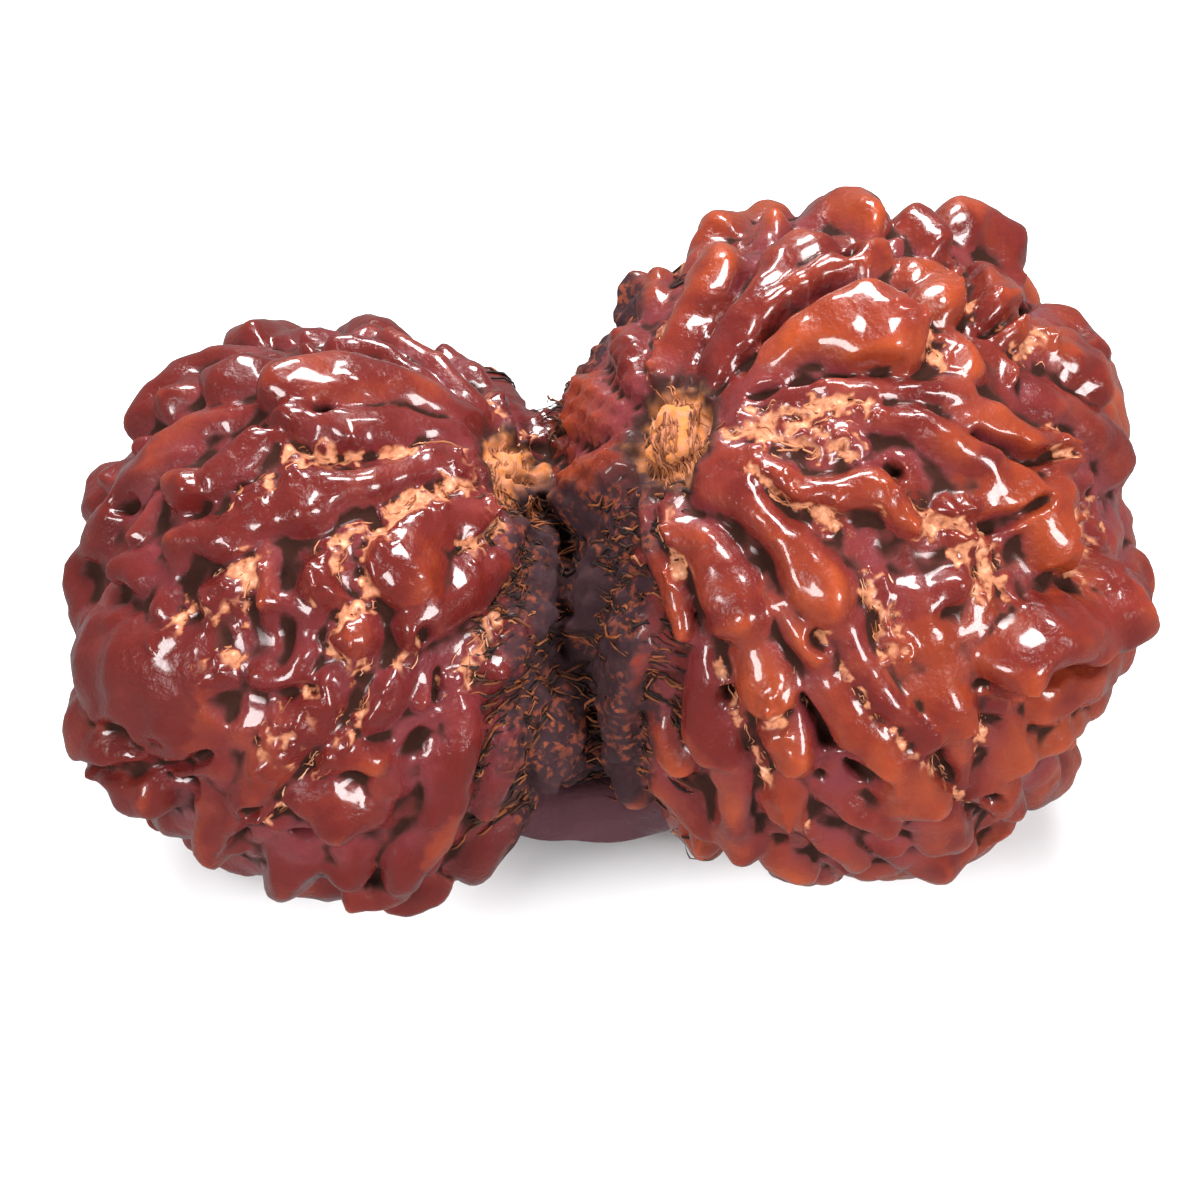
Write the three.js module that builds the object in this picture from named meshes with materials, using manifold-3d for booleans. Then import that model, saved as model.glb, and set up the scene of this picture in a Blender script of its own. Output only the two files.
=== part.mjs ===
import * as THREE from 'three';
import { mergeVertices } from 'three/addons/utils/BufferGeometryUtils.js';
import Module from 'manifold-3d';

// A twin rudraksha seed, grown as one piece: a small bead and a large bead joined at a narrow neck.
// Millimetres, +Z up. X runs the long way across both beads, and the seed rests on z = 0.

// Driving dimensions
const SMALL_CENTRE = [-9.69, -1.83, 10.3];
const SMALL_BODY = [8.8, 9.6, 9.3]; // half sizes of the bare body under the ridges
const SMALL_STALK = [0.72, 0.12, 0.68]; // direction from the centre to the stalk scar
const LARGE_CENTRE = [8.26, -0.13, 12.4];
const LARGE_BODY = [9.95, 11.6, 10.9];
const LARGE_STALK = [-0.61, -0.15, 0.778];
const NECK_CENTRE = [-1.59, -0.33, 8.9];
const NECK_BODY = [5, 6.7, 7];
const NECK_RIBS = 11; // ribs round the neck, running from bead to bead
const NECK_RIB_SHARE = 0.06; // their height as a share of the neck's half size
const BRIDGE_CENTRE = [-0.99, -5.73, 4.4]; // the bar across the foot of the neck
const BRIDGE_BODY = [4.8, 1.9, 2];
const SCAR_RADIUS = 1.5;
const SCAR_DEPTH = 0.5;
const GROOVE_HALF = 0.55;
const GROOVE_DEPTH = 0.8;
const LEAST_HALF = 1; // the narrowest half width that a ridge is given
const LIFT_BASE = 0.55; // a ridge's height is this much and LIFT_PER_HALF of its half width
const LIFT_PER_HALF = 0.75;
const STALK_END_LIFT = 0.55; // share of its height that a ridge has at the end nearest the stalk
const WEB_LIFT = 0.2; // share of a ridge's height that the web beside it has
const WEB_START = 0.9; // where the web starts and ends, in half widths from the crest line
const WEB_END = 1.9;
const OVERHANG = 0.35; // how far a crest leans away from the stalk, as a share of its height
const SWAY = 0.03; // how far the whole pattern wanders, as a share of the bead's radius
const SWAY_WAVE = 5; // wavelength of that wandering, and of the finer one on top of it
const FINE_SWAY_WAVE = 2.2;
const FINE_SWAY_SHARE = 0.4;
const WIDTH_SWELL = 0.16; // how much a ridge's width comes and goes along it
const WIDTH_WAVE = 2.8;
const HEIGHT_SWELL = 0.08;
const HEIGHT_WAVE = 2.4;
const FOOT_HALF = 3.4; // the broad low lobe that each bead rests on
const SMALL_FOOT_LIFT = 1.7;
const LARGE_FOOT_LIFT = 2.2;
const PATCH_REACH = 0.4; // a height is the mean over a patch this far across each way, for even flanks
const MIDDLE_SHARE = 2; // how much the middle of the patch counts beside the six places round it
const JOINT_LIFT = 0.4; // share of their height that ridges keep where they face the neck
const JOINT_START = 0.6; // how far round toward the neck they start and stop getting lower
const JOINT_END = 0.95;
const SMALL_DETAIL = 15;
const LARGE_DETAIL = 16;
const NECK_DETAIL = 7;
const BRIDGE_DETAIL = 3;
const CUT_SIZE = 80;
const SEED = 4127;

// A ridge is its half width at the stalk end and at the far end, and then its crest line as pairs
// of angles in degrees: down from the stalk scar, and round from the front (90 is away from the joint).
// A last number is a height of its own.
const SMALL_RIDGES = [
  [0.7, 0.85, [10, 312, 31, 342]],
  [0.8, 1.3, [12, 14, 31, 21, 47, 28]],
  [0.6, 1.6, [14, 50, 33, 43, 41, 39]],
  [0.8, 1, [13, 78, 55, 70]],
  [0.7, 1.2, [13, 97, 52, 92]],
  [0.8, 1.7, [15, 120, 31, 116, 54, 106]],
  [0.6, 0.7, [14, 132, 50, 133]],
  [0.6, 0.7, [14, 150, 45, 152]],
  [0.6, 0.7, [14, 172, 44, 171]],
  [0.7, 0.7, [52, 143, 60, 140]],
  [0.8, 0.8, [48, 158, 52, 150]],
  [1.2, 1.2, [69, 128, 80, 131]],
  [1.3, 1.3, [62, 116, 70, 113]],
  [1.2, 1.2, [80, 119, 86, 117]],
  [1.3, 1.3, [88, 129, 94, 124], 1.7],
  [0.8, 0.8, [60, 103, 100, 101]],
  [0.9, 1.1, [78, 99, 112, 95]],
  [0.9, 0.9, [55, 93, 74, 86]],
  [1.2, 1.2, [77, 87, 79, 87]],
  [1.1, 1.1, [56, 71, 80, 73]],
  [0.6, 0.75, [64, 66, 70, 55]],
  [0.8, 0.8, [88, 67, 91, 63]],
  [0.9, 0.9, [92, 72, 100, 78]],
  [0.9, 0.9, [55, 36, 59, 35]],
  [0.7, 0.7, [71, 52, 66, 51, 64, 44, 69, 39, 75, 38, 78, 42]],
  [0.9, 0.9, [67, 30, 69, 30]],
  [1.2, 1.3, [73, 31, 98, 21]],
  [0.8, 0.8, [55, 22, 64, 17]],
  [0.9, 1, [77, 22, 72, 12]],
  [0.8, 0.8, [72, 8, 76, 6]],
  [0.7, 0.7, [31, 352, 42, 356]],
  [0.9, 1.2, [56, 358, 68, 347, 84, 342]],
  [0.7, 0.7, [52, 341, 71, 334]],
  [0.8, 0.8, [66, 357, 77, 350]],
  [1.2, 1.3, [88, 16, 85, 6]],
  [1.4, 1.4, [84, 346, 92, 340]],
  [0.9, 0.9, [98, 322, 108, 322], 1.9],
  [0.9, 0.9, [96, 336, 108, 338], 1.6],
  [2.4, 2.2, [92, 48, 118, 62]],
  [3, 3, [97, 42, 102, 46], 1.1],
  [1.2, 1.2, [107, 54, 115, 66]],
  [1.5, 1.4, [113, 72, 118, 70]],
  [1.8, 1.8, [126, 38, 137, 57], 2.2],
  [1.3, 1.3, [128, 75, 120, 95]],
  [1.4, 1.5, [104, 27, 118, 16]],
  [1.2, 1.2, [106, 2, 118, 354]],
];

const LARGE_RIDGES = [
  [0.6, 0.8, [9, 325, 32, 346]],
  [0.9, 1.4, [12, 5, 36, 9]],
  [0.6, 0.85, [33, 21, 47, 22]],
  [0.9, 1.3, [13, 50, 45, 33]],
  [1, 1.2, [46, 31, 73, 24]],
  [0.6, 0.85, [13, 63, 48, 59]],
  [0.6, 1.2, [32, 77, 46, 80, 62, 73]],
  [1.4, 1.7, [62, 71, 79, 69]],
  [0.6, 0.6, [62, 77, 68, 73, 62, 63, 57, 61]],
  [0.6, 0.8, [12, 88, 58, 88]],
  [0.9, 1.9, [19, 105, 32, 107, 44, 104]],
  [0.7, 1.1, [13, 122, 28, 130, 50, 127]],
  [0.8, 1.2, [15, 136, 43, 140]],
  [0.8, 1.2, [13, 175, 24, 168, 35, 162]],
  [0.6, 0.9, [13, 200, 32, 207]],
  [0.8, 0.8, [34, 194, 44, 193]],
  [0.95, 0.95, [47, 157, 50, 158]],
  [1.2, 1.2, [58, 153, 62, 149]],
  [1, 1, [64, 148, 58, 138], 1.6],
  [1, 1, [66, 133, 68, 128], 1.6],
  [1.1, 1.3, [54, 122, 60, 116, 58, 107]],
  [1.6, 1.6, [74, 119, 71, 108]],
  [1.4, 1.4, [80, 138, 88, 131], 2.2],
  [0.8, 0.8, [57, 100, 59, 93]],
  [1.7, 1.7, [85, 105, 92, 102]],
  [1, 1.2, [76, 92, 102, 89]],
  [1, 1.2, [57, 84, 81, 80]],
  [1.5, 1.9, [74, 51, 86, 57, 101, 60]],
  [2.2, 2.4, [66, 38, 84, 47], 0.95],
  [1.6, 1.6, [86, 47, 99, 54]],
  [0.9, 0.9, [55, 42, 63, 51]],
  [1.3, 1.2, [68, 34, 75, 31]],
  [0.9, 0.7, [75, 31, 89, 22]],
  [0.6, 0.6, [76, 34, 84, 37]],
  [1.1, 1.1, [86, 38, 98, 33]],
  [0.9, 0.8, [99, 47, 96, 35]],
  [1.4, 1.3, [120, 54, 109, 45, 102, 38]],
  [1.4, 1.4, [110, 64, 114, 61]],
  [1.6, 1.6, [129, 40, 136, 50], 0.5],
  [1.4, 1.4, [102, 70, 108, 76], 0.6],
  [1.3, 1.3, [92, 24, 108, 20]],
  [0.9, 0.9, [89, 33, 97, 29]],
  [1.3, 1.4, [52, 18, 83, 14]],
  [1.2, 1.2, [90, 12, 100, 9]],
  [1.3, 1.3, [42, 8, 48, 6]],
  [1.4, 1.4, [55, 4, 62, 2]],
  [0.8, 1, [38, 350, 57, 344]],
  [1, 1, [50, 330, 58, 333]],
  [1, 1.2, [60, 344, 79, 336]],
  [0.9, 0.9, [67, 357, 72, 350]],
  [0.9, 0.9, [82, 352, 94, 352]],
  [1.1, 1.1, [65, 322, 74, 328]],
  [1.1, 1.1, [84, 338, 95, 336]],
  [0.9, 0.9, [74, 3, 84, 6]],
];

// Straight seams of the seed's chambers: round angle at the stalk end and at the far end.
const SMALL_GROOVES = [[24, 16], [96, 92], [168, 170], [240, 238], [312, 314]];
const LARGE_GROOVES = [[24, 18], [68, 70], [128, 126], [190, 192], [252, 250], [355, 350]];
const GROOVE_START = 46;
const GROOVE_END = 150;

// What the lists leave bare is filled by rule: long ridges at both ends of a bead, and short blunt
// fingers and knobs round its middle.
const FILL_TRIES = 700;
const FILL_ROUNDS = [
  { endHalf: [1, 1.2], midHalf: [1.3, 2.1], endLength: [16, 26], midLength: [3, 14], spacing: 0.72 },
  { endHalf: [1, 1.1], midHalf: [1, 1.3], endLength: [6, 12], midLength: [1, 10], spacing: 0.8 },
];
const END_ZONE = 48;
const FILL_CLEAR_OF_SCAR = 15;

const radians = THREE.MathUtils.degToRad;
const { clamp, lerp, smoothstep } = THREE.MathUtils;

// One small number generator, so that every build draws the same seed.
function makeDraw(start) {
  let state = start;
  return (low, high) => {
    state = (state * 16807) % 2147483647;
    return low + (high - low) * (state / 2147483647);
  };
}

// A smooth rise and fall over the surface, from about -1 to 1, that never quite repeats.
function ripple(point, wavelength, phase) {
  let total = 0;
  for (let i = 0; i < 5; i += 1) {
    const turn = 2.4 * i + phase;
    const rise = 0.8 - 0.4 * i;
    const across = point.x * Math.cos(turn) + point.y * Math.sin(turn) + point.z * rise;
    const stretch = (2 * Math.PI) / (wavelength * (0.8 + 0.13 * i));
    total += Math.sin((across / Math.hypot(1, rise)) * stretch + 1.7 * i + 3.1 * phase);
  }
  return total / 2.6;
}

function makeBead(centre, body, stalk, outward) {
  const axis = new THREE.Vector3(...stalk).normalize();
  const front = new THREE.Vector3(0, -1, 0);
  front.addScaledVector(axis, -front.dot(axis)).normalize();
  const side = axis.clone().cross(front).multiplyScalar(outward);
  return {
    centre: new THREE.Vector3(...centre),
    body: new THREE.Vector3(...body),
    radius: (body[0] + body[1] + body[2]) / 3 + 1,
    axis,
    front,
    side,
    ridges: [],
    grooves: [],
  };
}

function direction(bead, down, round) {
  const d = radians(down);
  const r = radians(round);
  return new THREE.Vector3()
    .addScaledVector(bead.axis, Math.cos(d))
    .addScaledVector(bead.front, Math.sin(d) * Math.cos(r))
    .addScaledVector(bead.side, Math.sin(d) * Math.sin(r));
}

function crestLine(bead, angles) {
  const line = [];
  for (let i = 0; i < angles.length; i += 2) line.push(direction(bead, angles[i], angles[i + 1]));
  return line;
}

const UP = new THREE.Vector3(0, 0, 1);
const SIDEWAYS = new THREE.Vector3(1, 0, 0);
const leg = new THREE.Vector3();
const nearest = new THREE.Vector3();

// How far a spot on the unit sphere is from a crest line, and how far along the line that is.
function nearestOnLine(line, spot) {
  let gap = Infinity;
  let along = 0;
  for (let i = 0; i < line.length - 1; i += 1) {
    leg.subVectors(line[i + 1], line[i]);
    const share = clamp(nearest.subVectors(spot, line[i]).dot(leg) / leg.lengthSq(), 0, 1);
    nearest.copy(line[i]).addScaledVector(leg, share).normalize();
    const reach = nearest.distanceTo(spot);
    if (reach < gap) {
      gap = reach;
      along = (i + share) / (line.length - 1);
    }
  }
  return { gap, along };
}

function liftFor(half) {
  return LIFT_BASE + LIFT_PER_HALF * Math.min(half, 1.9);
}

function addRidge(bead, halfStart, halfEnd, angles, lift) {
  bead.ridges.push({
    line: crestLine(bead, angles),
    halfStart: Math.max(halfStart, LEAST_HALF),
    halfEnd: Math.max(halfEnd, LEAST_HALF),
    lift,
  });
}

function addFoot(bead, lift) {
  const down = new THREE.Vector3(0, 0, -1);
  const aside = down.clone().addScaledVector(bead.front, 0.02).normalize();
  bead.ridges.push({ line: [down, aside], halfStart: FOOT_HALF, halfEnd: FOOT_HALF, lift });
}

function isBare(bead, angles, half, spacing) {
  return crestLine(bead, angles).every((spot) => bead.ridges.every((ridge) => {
    const { gap, along } = nearestOnLine(ridge.line, spot);
    const room = half + lerp(ridge.halfStart, ridge.halfEnd, along);
    return gap * bead.radius > room * spacing;
  }));
}

function fillBare(bead, draw) {
  for (const round of FILL_ROUNDS) {
    for (let i = 0; i < FILL_TRIES; i += 1) {
      const down = THREE.MathUtils.radToDeg(Math.acos(draw(-0.985, 0.966)));
      const turn = draw(0, 360);
      const atEnd = down < END_ZONE || down > 180 - END_ZONE;
      const half = draw(...(atEnd ? round.endHalf : round.midHalf));
      const length = draw(...(atEnd ? round.endLength : round.midLength));
      const slant = draw(-0.5, 0.5) * (atEnd ? 4 : length * 1.6);
      const bend = draw(-0.5, 0.5) * (atEnd ? 3 : length);
      const start = clamp(down - length / 2, FILL_CLEAR_OF_SCAR, 164);
      const middle = clamp(down, FILL_CLEAR_OF_SCAR + 1, 167);
      const end = clamp(down + length / 2, FILL_CLEAR_OF_SCAR + 2, 170);
      const angles = [start, turn - slant, middle, turn + bend, end, turn + slant];
      if (isBare(bead, angles, half, round.spacing)) addRidge(bead, half, half * 1.15, angles);
    }
  }
}

// Height of the ridges over the bare body at a spot. Each has a rounded crest and a lower web beside it.
function ridgeHeight(bead, spot) {
  const place = spot.clone().multiplyScalar(bead.radius);
  const sway = [0, 1, 2].map((phase) => {
    const fine = ripple(place, FINE_SWAY_WAVE, phase + 9);
    return SWAY * (ripple(place, SWAY_WAVE, phase) + FINE_SWAY_SHARE * fine);
  });
  const swayed = spot.clone().add(leg.set(...sway)).normalize();
  const widthSwell = 1 + WIDTH_SWELL * ripple(place, WIDTH_WAVE, 7);
  const heightSwell = 1 + HEIGHT_SWELL * ripple(place, HEIGHT_WAVE, 5);
  let height = 0;
  for (const ridge of bead.ridges) {
    const { gap, along } = nearestOnLine(ridge.line, swayed);
    const half = lerp(ridge.halfStart, ridge.halfEnd, along);
    const share = (gap * bead.radius) / (half * widthSwell);
    if (share >= WEB_END) continue;
    const lift = ridge.lift ?? liftFor(half) * lerp(STALK_END_LIFT, 1, Math.sqrt(along));
    const crest = Math.max(1 - share * share, 0) ** 0.8 * heightSwell;
    const web = WEB_LIFT * (1 - smoothstep(share, WEB_START, WEB_END));
    height = Math.max(height, lift * Math.max(crest, web));
  }
  const towardNeck = -Math.sign(bead.centre.x) * spot.x;
  return height * lerp(1, JOINT_LIFT, smoothstep(towardNeck, JOINT_START, JOINT_END));
}

// The mean height over the spot and six places round it.
function patchHeight(bead, spot) {
  const across = spot.clone().cross(Math.abs(spot.z) < 0.9 ? UP : SIDEWAYS).normalize();
  const reach = PATCH_REACH / bead.radius;
  let total = MIDDLE_SHARE * ridgeHeight(bead, spot);
  for (let i = 0; i < 6; i += 1) {
    const near = spot.clone().addScaledVector(across, reach).normalize();
    total += ridgeHeight(bead, near);
    across.applyAxisAngle(spot, Math.PI / 3);
  }
  return total / (MIDDLE_SHARE + 6);
}

// Depth of the chamber seams and of the stalk scar at a spot.
function carvedDepth(bead, spot) {
  let depth = 0;
  for (const line of bead.grooves) {
    const share = (nearestOnLine(line, spot).gap * bead.radius) / GROOVE_HALF;
    if (share < 1) depth = Math.max(depth, GROOVE_DEPTH * (1 - share * share));
  }
  const fromScar = spot.distanceTo(bead.axis) * bead.radius;
  return depth + SCAR_DEPTH * (1 - smoothstep(fromScar, SCAR_RADIUS * 0.6, SCAR_RADIUS));
}

function roundGeometry(detail) {
  const geometry = new THREE.IcosahedronGeometry(1, detail);
  geometry.deleteAttribute('normal');
  geometry.deleteAttribute('uv');
  return mergeVertices(geometry, 1e-5);
}

function beadGeometry(bead, detail) {
  const geometry = roundGeometry(detail);
  const points = geometry.getAttribute('position');
  const spot = new THREE.Vector3();
  const lean = new THREE.Vector3();
  for (let i = 0; i < points.count; i += 1) {
    spot.fromBufferAttribute(points, i).normalize();
    const ridge = patchHeight(bead, spot);
    const height = ridge - carvedDepth(bead, spot);
    lean.copy(spot).multiplyScalar(spot.dot(bead.axis)).sub(bead.axis).multiplyScalar(OVERHANG * ridge);
    points.setXYZ(
      i,
      bead.centre.x + (bead.body.x + height) * spot.x + lean.x,
      bead.centre.y + (bead.body.y + height) * spot.y + lean.y,
      bead.centre.z + (bead.body.z + height) * spot.z + lean.z,
    );
  }
  return geometry;
}

// The neck's ribs run from bead to bead, so its radius goes up and down round the X axis.
function neckGeometry() {
  const geometry = roundGeometry(NECK_DETAIL);
  const points = geometry.getAttribute('position');
  for (let i = 0; i < points.count; i += 1) {
    const turn = Math.atan2(points.getY(i), points.getZ(i));
    const swell = 1 + NECK_RIB_SHARE * Math.cos(NECK_RIBS * turn);
    points.setXYZ(i, points.getX(i), points.getY(i) * swell, points.getZ(i) * swell);
  }
  return geometry.scale(...NECK_BODY).translate(...NECK_CENTRE);
}

function bridgeGeometry() {
  return roundGeometry(BRIDGE_DETAIL).scale(...BRIDGE_BODY).translate(...BRIDGE_CENTRE);
}

function cutBlock() {
  const geometry = new THREE.BoxGeometry(CUT_SIZE, CUT_SIZE, CUT_SIZE);
  geometry.deleteAttribute('normal');
  geometry.deleteAttribute('uv');
  return mergeVertices(geometry).translate(0, 0, -CUT_SIZE / 2);
}

const wasm = await Module();
wasm.setup();

function toSolid(geometry) {
  return new wasm.Manifold(new wasm.Mesh({
    numProp: 3,
    vertProperties: new Float32Array(geometry.getAttribute('position').array),
    triVerts: new Uint32Array(geometry.getIndex().array),
  }));
}

function toGeometry(solid) {
  const mesh = solid.getMesh();
  const geometry = new THREE.BufferGeometry();
  geometry.setAttribute('position', new THREE.BufferAttribute(mesh.vertProperties, mesh.numProp));
  geometry.setIndex(new THREE.BufferAttribute(mesh.triVerts, 1));
  geometry.computeVertexNormals();
  return geometry;
}

const draw = makeDraw(SEED);
const small = makeBead(SMALL_CENTRE, SMALL_BODY, SMALL_STALK, -1);
const large = makeBead(LARGE_CENTRE, LARGE_BODY, LARGE_STALK, 1);
for (const [bead, ridges, grooves, footLift] of [
  [small, SMALL_RIDGES, SMALL_GROOVES, SMALL_FOOT_LIFT],
  [large, LARGE_RIDGES, LARGE_GROOVES, LARGE_FOOT_LIFT],
]) {
  addFoot(bead, footLift);
  for (const ridge of ridges) addRidge(bead, ...ridge);
  fillBare(bead, draw);
  for (const [from, to] of grooves) {
    bead.grooves.push(crestLine(bead, [GROOVE_START, from, GROOVE_END, to]));
  }
}

const seed = toSolid(beadGeometry(small, SMALL_DETAIL))
  .add(toSolid(beadGeometry(large, LARGE_DETAIL)))
  .add(toSolid(neckGeometry()))
  .add(toSolid(bridgeGeometry()))
  .subtract(toSolid(cutBlock()));

const husk = new THREE.MeshStandardMaterial({ color: 0x7a2a18, roughness: 0.35, metalness: 0 });
const twinSeed = new THREE.Mesh(toGeometry(seed), husk);
twinSeed.name = 'twin_seed';

const group = new THREE.Group();
group.add(twinSeed);

export default group;
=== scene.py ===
import math

import bmesh
import bpy
import numpy as np
from mathutils import Matrix, Vector
from mathutils.bvhtree import BVHTree


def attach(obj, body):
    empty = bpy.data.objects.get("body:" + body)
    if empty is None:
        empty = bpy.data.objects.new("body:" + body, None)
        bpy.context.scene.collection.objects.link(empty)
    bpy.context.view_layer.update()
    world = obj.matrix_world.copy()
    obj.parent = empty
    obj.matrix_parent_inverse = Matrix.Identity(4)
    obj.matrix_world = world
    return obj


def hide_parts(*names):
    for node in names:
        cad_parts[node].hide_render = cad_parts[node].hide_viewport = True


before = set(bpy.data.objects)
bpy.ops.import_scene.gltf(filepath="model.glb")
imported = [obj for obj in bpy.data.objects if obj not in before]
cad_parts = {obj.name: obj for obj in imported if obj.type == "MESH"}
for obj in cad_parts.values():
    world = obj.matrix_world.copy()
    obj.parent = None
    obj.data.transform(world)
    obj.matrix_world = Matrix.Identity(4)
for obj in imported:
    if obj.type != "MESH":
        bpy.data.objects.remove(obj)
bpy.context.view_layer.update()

# The seed is worked out in millimetres, and each finished mesh is brought to metres at its end.
millimetre = 0.001

# What the photo's camera sees: straight on to the long side, from well above.
view = {
    "elevation": 55.0,
    "lens": 150.0,
    "sensor": 36.0,
    "distance": 185.2,
    "target": (-0.35, -0.1, 8.53),
    "middle": 4.8,  # the view's middle, as a height up the view
}

# Each ridge: half width at the stalk end and at the far end, then its crest line as pairs of angles
# in degrees, down from the stalk scar and round from the front (90 points away from the joint).
# A last number is a height of its own.
smallRidges = [
    (0.7, 0.85, (10, 312, 31, 342)),
    (0.8, 1.3, (12, 14, 31, 21, 47, 28)),
    (0.6, 1.6, (14, 50, 33, 43, 41, 39)),
    (0.8, 1.0, (13, 78, 55, 70)),
    (0.7, 1.2, (13, 97, 52, 92)),
    (0.8, 1.7, (15, 120, 31, 116, 54, 106)),
    (0.6, 0.7, (14, 132, 50, 133)),
    (0.6, 0.7, (14, 150, 45, 152)),
    (0.6, 0.7, (14, 172, 44, 171)),
    (0.7, 0.7, (52, 143, 60, 140)),
    (0.8, 0.8, (48, 158, 52, 150)),
    (1.2, 1.2, (69, 128, 80, 131)),
    (1.3, 1.3, (62, 116, 70, 113)),
    (1.2, 1.2, (80, 119, 86, 117)),
    (1.3, 1.3, (88, 129, 94, 124), 1.7),
    (0.8, 0.8, (60, 103, 100, 101)),
    (0.9, 1.1, (78, 99, 112, 95)),
    (0.9, 0.9, (55, 93, 74, 86)),
    (1.2, 1.2, (77, 87, 79, 87)),
    (1.1, 1.1, (56, 71, 80, 73)),
    (0.6, 0.75, (64, 66, 70, 55)),
    (0.8, 0.8, (88, 67, 91, 63)),
    (0.9, 0.9, (92, 72, 100, 78)),
    (0.9, 0.9, (55, 36, 59, 35)),
    (0.7, 0.7, (71, 52, 66, 51, 64, 44, 69, 39, 75, 38, 78, 42)),
    (0.9, 0.9, (67, 30, 69, 30)),
    (1.2, 1.3, (73, 31, 98, 21)),
    (0.8, 0.8, (55, 22, 64, 17)),
    (0.9, 1.0, (77, 22, 72, 12)),
    (0.8, 0.8, (72, 8, 76, 6)),
    (0.7, 0.7, (31, 352, 42, 356)),
    (0.9, 1.2, (56, 358, 68, 347, 84, 342)),
    (0.7, 0.7, (52, 341, 71, 334)),
    (0.8, 0.8, (66, 357, 77, 350)),
    (1.2, 1.3, (88, 16, 85, 6)),
    (1.4, 1.4, (84, 346, 92, 340)),
    (0.9, 0.9, (98, 322, 108, 322), 1.9),
    (0.9, 0.9, (96, 336, 108, 338), 1.6),
    (2.4, 2.2, (92, 48, 118, 62)),
    (3.0, 3.0, (97, 42, 102, 46), 1.1),
    (1.2, 1.2, (107, 54, 115, 66)),
    (1.5, 1.4, (113, 72, 118, 70)),
    (1.8, 1.8, (126, 38, 137, 57), 2.2),
    (1.3, 1.3, (128, 75, 120, 95)),
    (1.4, 1.5, (104, 27, 118, 16)),
    (1.2, 1.2, (106, 2, 118, 354)),
]

largeRidges = [
    (0.6, 0.8, (9, 325, 32, 346)),
    (0.9, 1.4, (12, 5, 36, 9)),
    (0.6, 0.85, (33, 21, 47, 22)),
    (0.9, 1.3, (13, 50, 45, 33)),
    (1.0, 1.2, (46, 31, 73, 24)),
    (0.6, 0.85, (13, 63, 48, 59)),
    (0.6, 1.2, (32, 77, 46, 80, 62, 73)),
    (1.4, 1.7, (62, 71, 79, 69)),
    (0.6, 0.6, (62, 77, 68, 73, 62, 63, 57, 61)),
    (0.6, 0.8, (12, 88, 58, 88)),
    (0.9, 1.9, (19, 105, 32, 107, 44, 104)),
    (0.7, 1.1, (13, 122, 28, 130, 50, 127)),
    (0.8, 1.2, (15, 136, 43, 140)),
    (0.8, 1.2, (13, 175, 24, 168, 35, 162)),
    (0.6, 0.9, (13, 200, 32, 207)),
    (0.8, 0.8, (34, 194, 44, 193)),
    (0.95, 0.95, (47, 157, 50, 158)),
    (1.2, 1.2, (58, 153, 62, 149)),
    (1.0, 1.0, (64, 148, 58, 138), 1.6),
    (1.0, 1.0, (66, 133, 68, 128), 1.6),
    (1.1, 1.3, (54, 122, 60, 116, 58, 107)),
    (1.6, 1.6, (74, 119, 71, 108)),
    (1.4, 1.4, (80, 138, 88, 131), 2.2),
    (0.8, 0.8, (57, 100, 59, 93)),
    (1.7, 1.7, (85, 105, 92, 102)),
    (1.0, 1.2, (76, 92, 102, 89)),
    (1.0, 1.2, (57, 84, 81, 80)),
    (1.4, 1.9, (78, 44, 87, 54, 98, 60), 2.7),
    (2.2, 2.4, (66, 38, 84, 47), 0.95),
    (1.1, 1.3, (92, 43, 102, 50, 112, 56), 1.7),
    (0.9, 0.9, (55, 42, 63, 51)),
    (1.3, 1.2, (68, 34, 75, 31)),
    (0.9, 0.7, (75, 31, 89, 22)),
    (0.6, 0.6, (76, 34, 84, 37)),
    (1.1, 1.1, (86, 38, 98, 33)),
    (0.9, 0.8, (99, 47, 96, 35)),
    (1.4, 1.3, (120, 54, 109, 45, 102, 38)),
    (1.4, 1.4, (110, 64, 114, 61)),
    (1.6, 1.6, (129, 40, 136, 50), 0.5),
    (1.4, 1.4, (102, 70, 108, 76), 0.6),
    (1.3, 1.3, (92, 24, 108, 20)),
    (0.9, 0.9, (89, 33, 97, 29)),
    (1.3, 1.4, (52, 18, 83, 14)),
    (1.2, 1.2, (90, 12, 100, 9)),
    (1.3, 1.3, (42, 8, 48, 6)),
    (1.4, 1.4, (55, 4, 62, 2)),
    (0.8, 1.0, (38, 350, 57, 344)),
    (1.0, 1.0, (50, 330, 58, 333)),
    (1.0, 1.2, (60, 344, 79, 336)),
    (0.9, 0.9, (67, 357, 72, 350)),
    (0.9, 0.9, (82, 352, 94, 352)),
    (1.1, 1.1, (65, 322, 74, 328)),
    (1.1, 1.1, (84, 338, 95, 336)),
    (0.9, 0.9, (74, 3, 84, 6)),
]

# Tan fibre left in the furrows: half width, then the streak's line as the same pairs of angles.
smallStreaks = [
    (0.7, (16, 32, 28, 30)),
    (0.8, (18, 62, 30, 60, 40, 56)),
    (0.35, (16, 84, 36, 80)),
    (0.6, (42, 82, 50, 83, 56, 86)),
    (0.5, (50, 83, 55, 78)),
    (0.6, (44, 54, 50, 43, 58, 39, 63, 37)),
    (0.6, (46, 57, 53, 58, 60, 48)),
    (0.8, (36, 4, 49, 6)),
    (1.0, (71, 62, 79, 58)),
    (0.6, (88, 61, 92, 59)),
    (0.6, (84, 48, 90, 48)),
    (0.9, (74, 30, 86, 27)),
    (0.7, (59, 36, 64, 30)),
    (0.7, (62, 78, 69, 76)),
    (0.5, (8, 170, 22, 168)),
    (0.5, (8, 195, 20, 200)),
    (0.5, (7, 60, 16, 70)),
    (0.35, (50, 24, 104, 16)),
]

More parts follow.
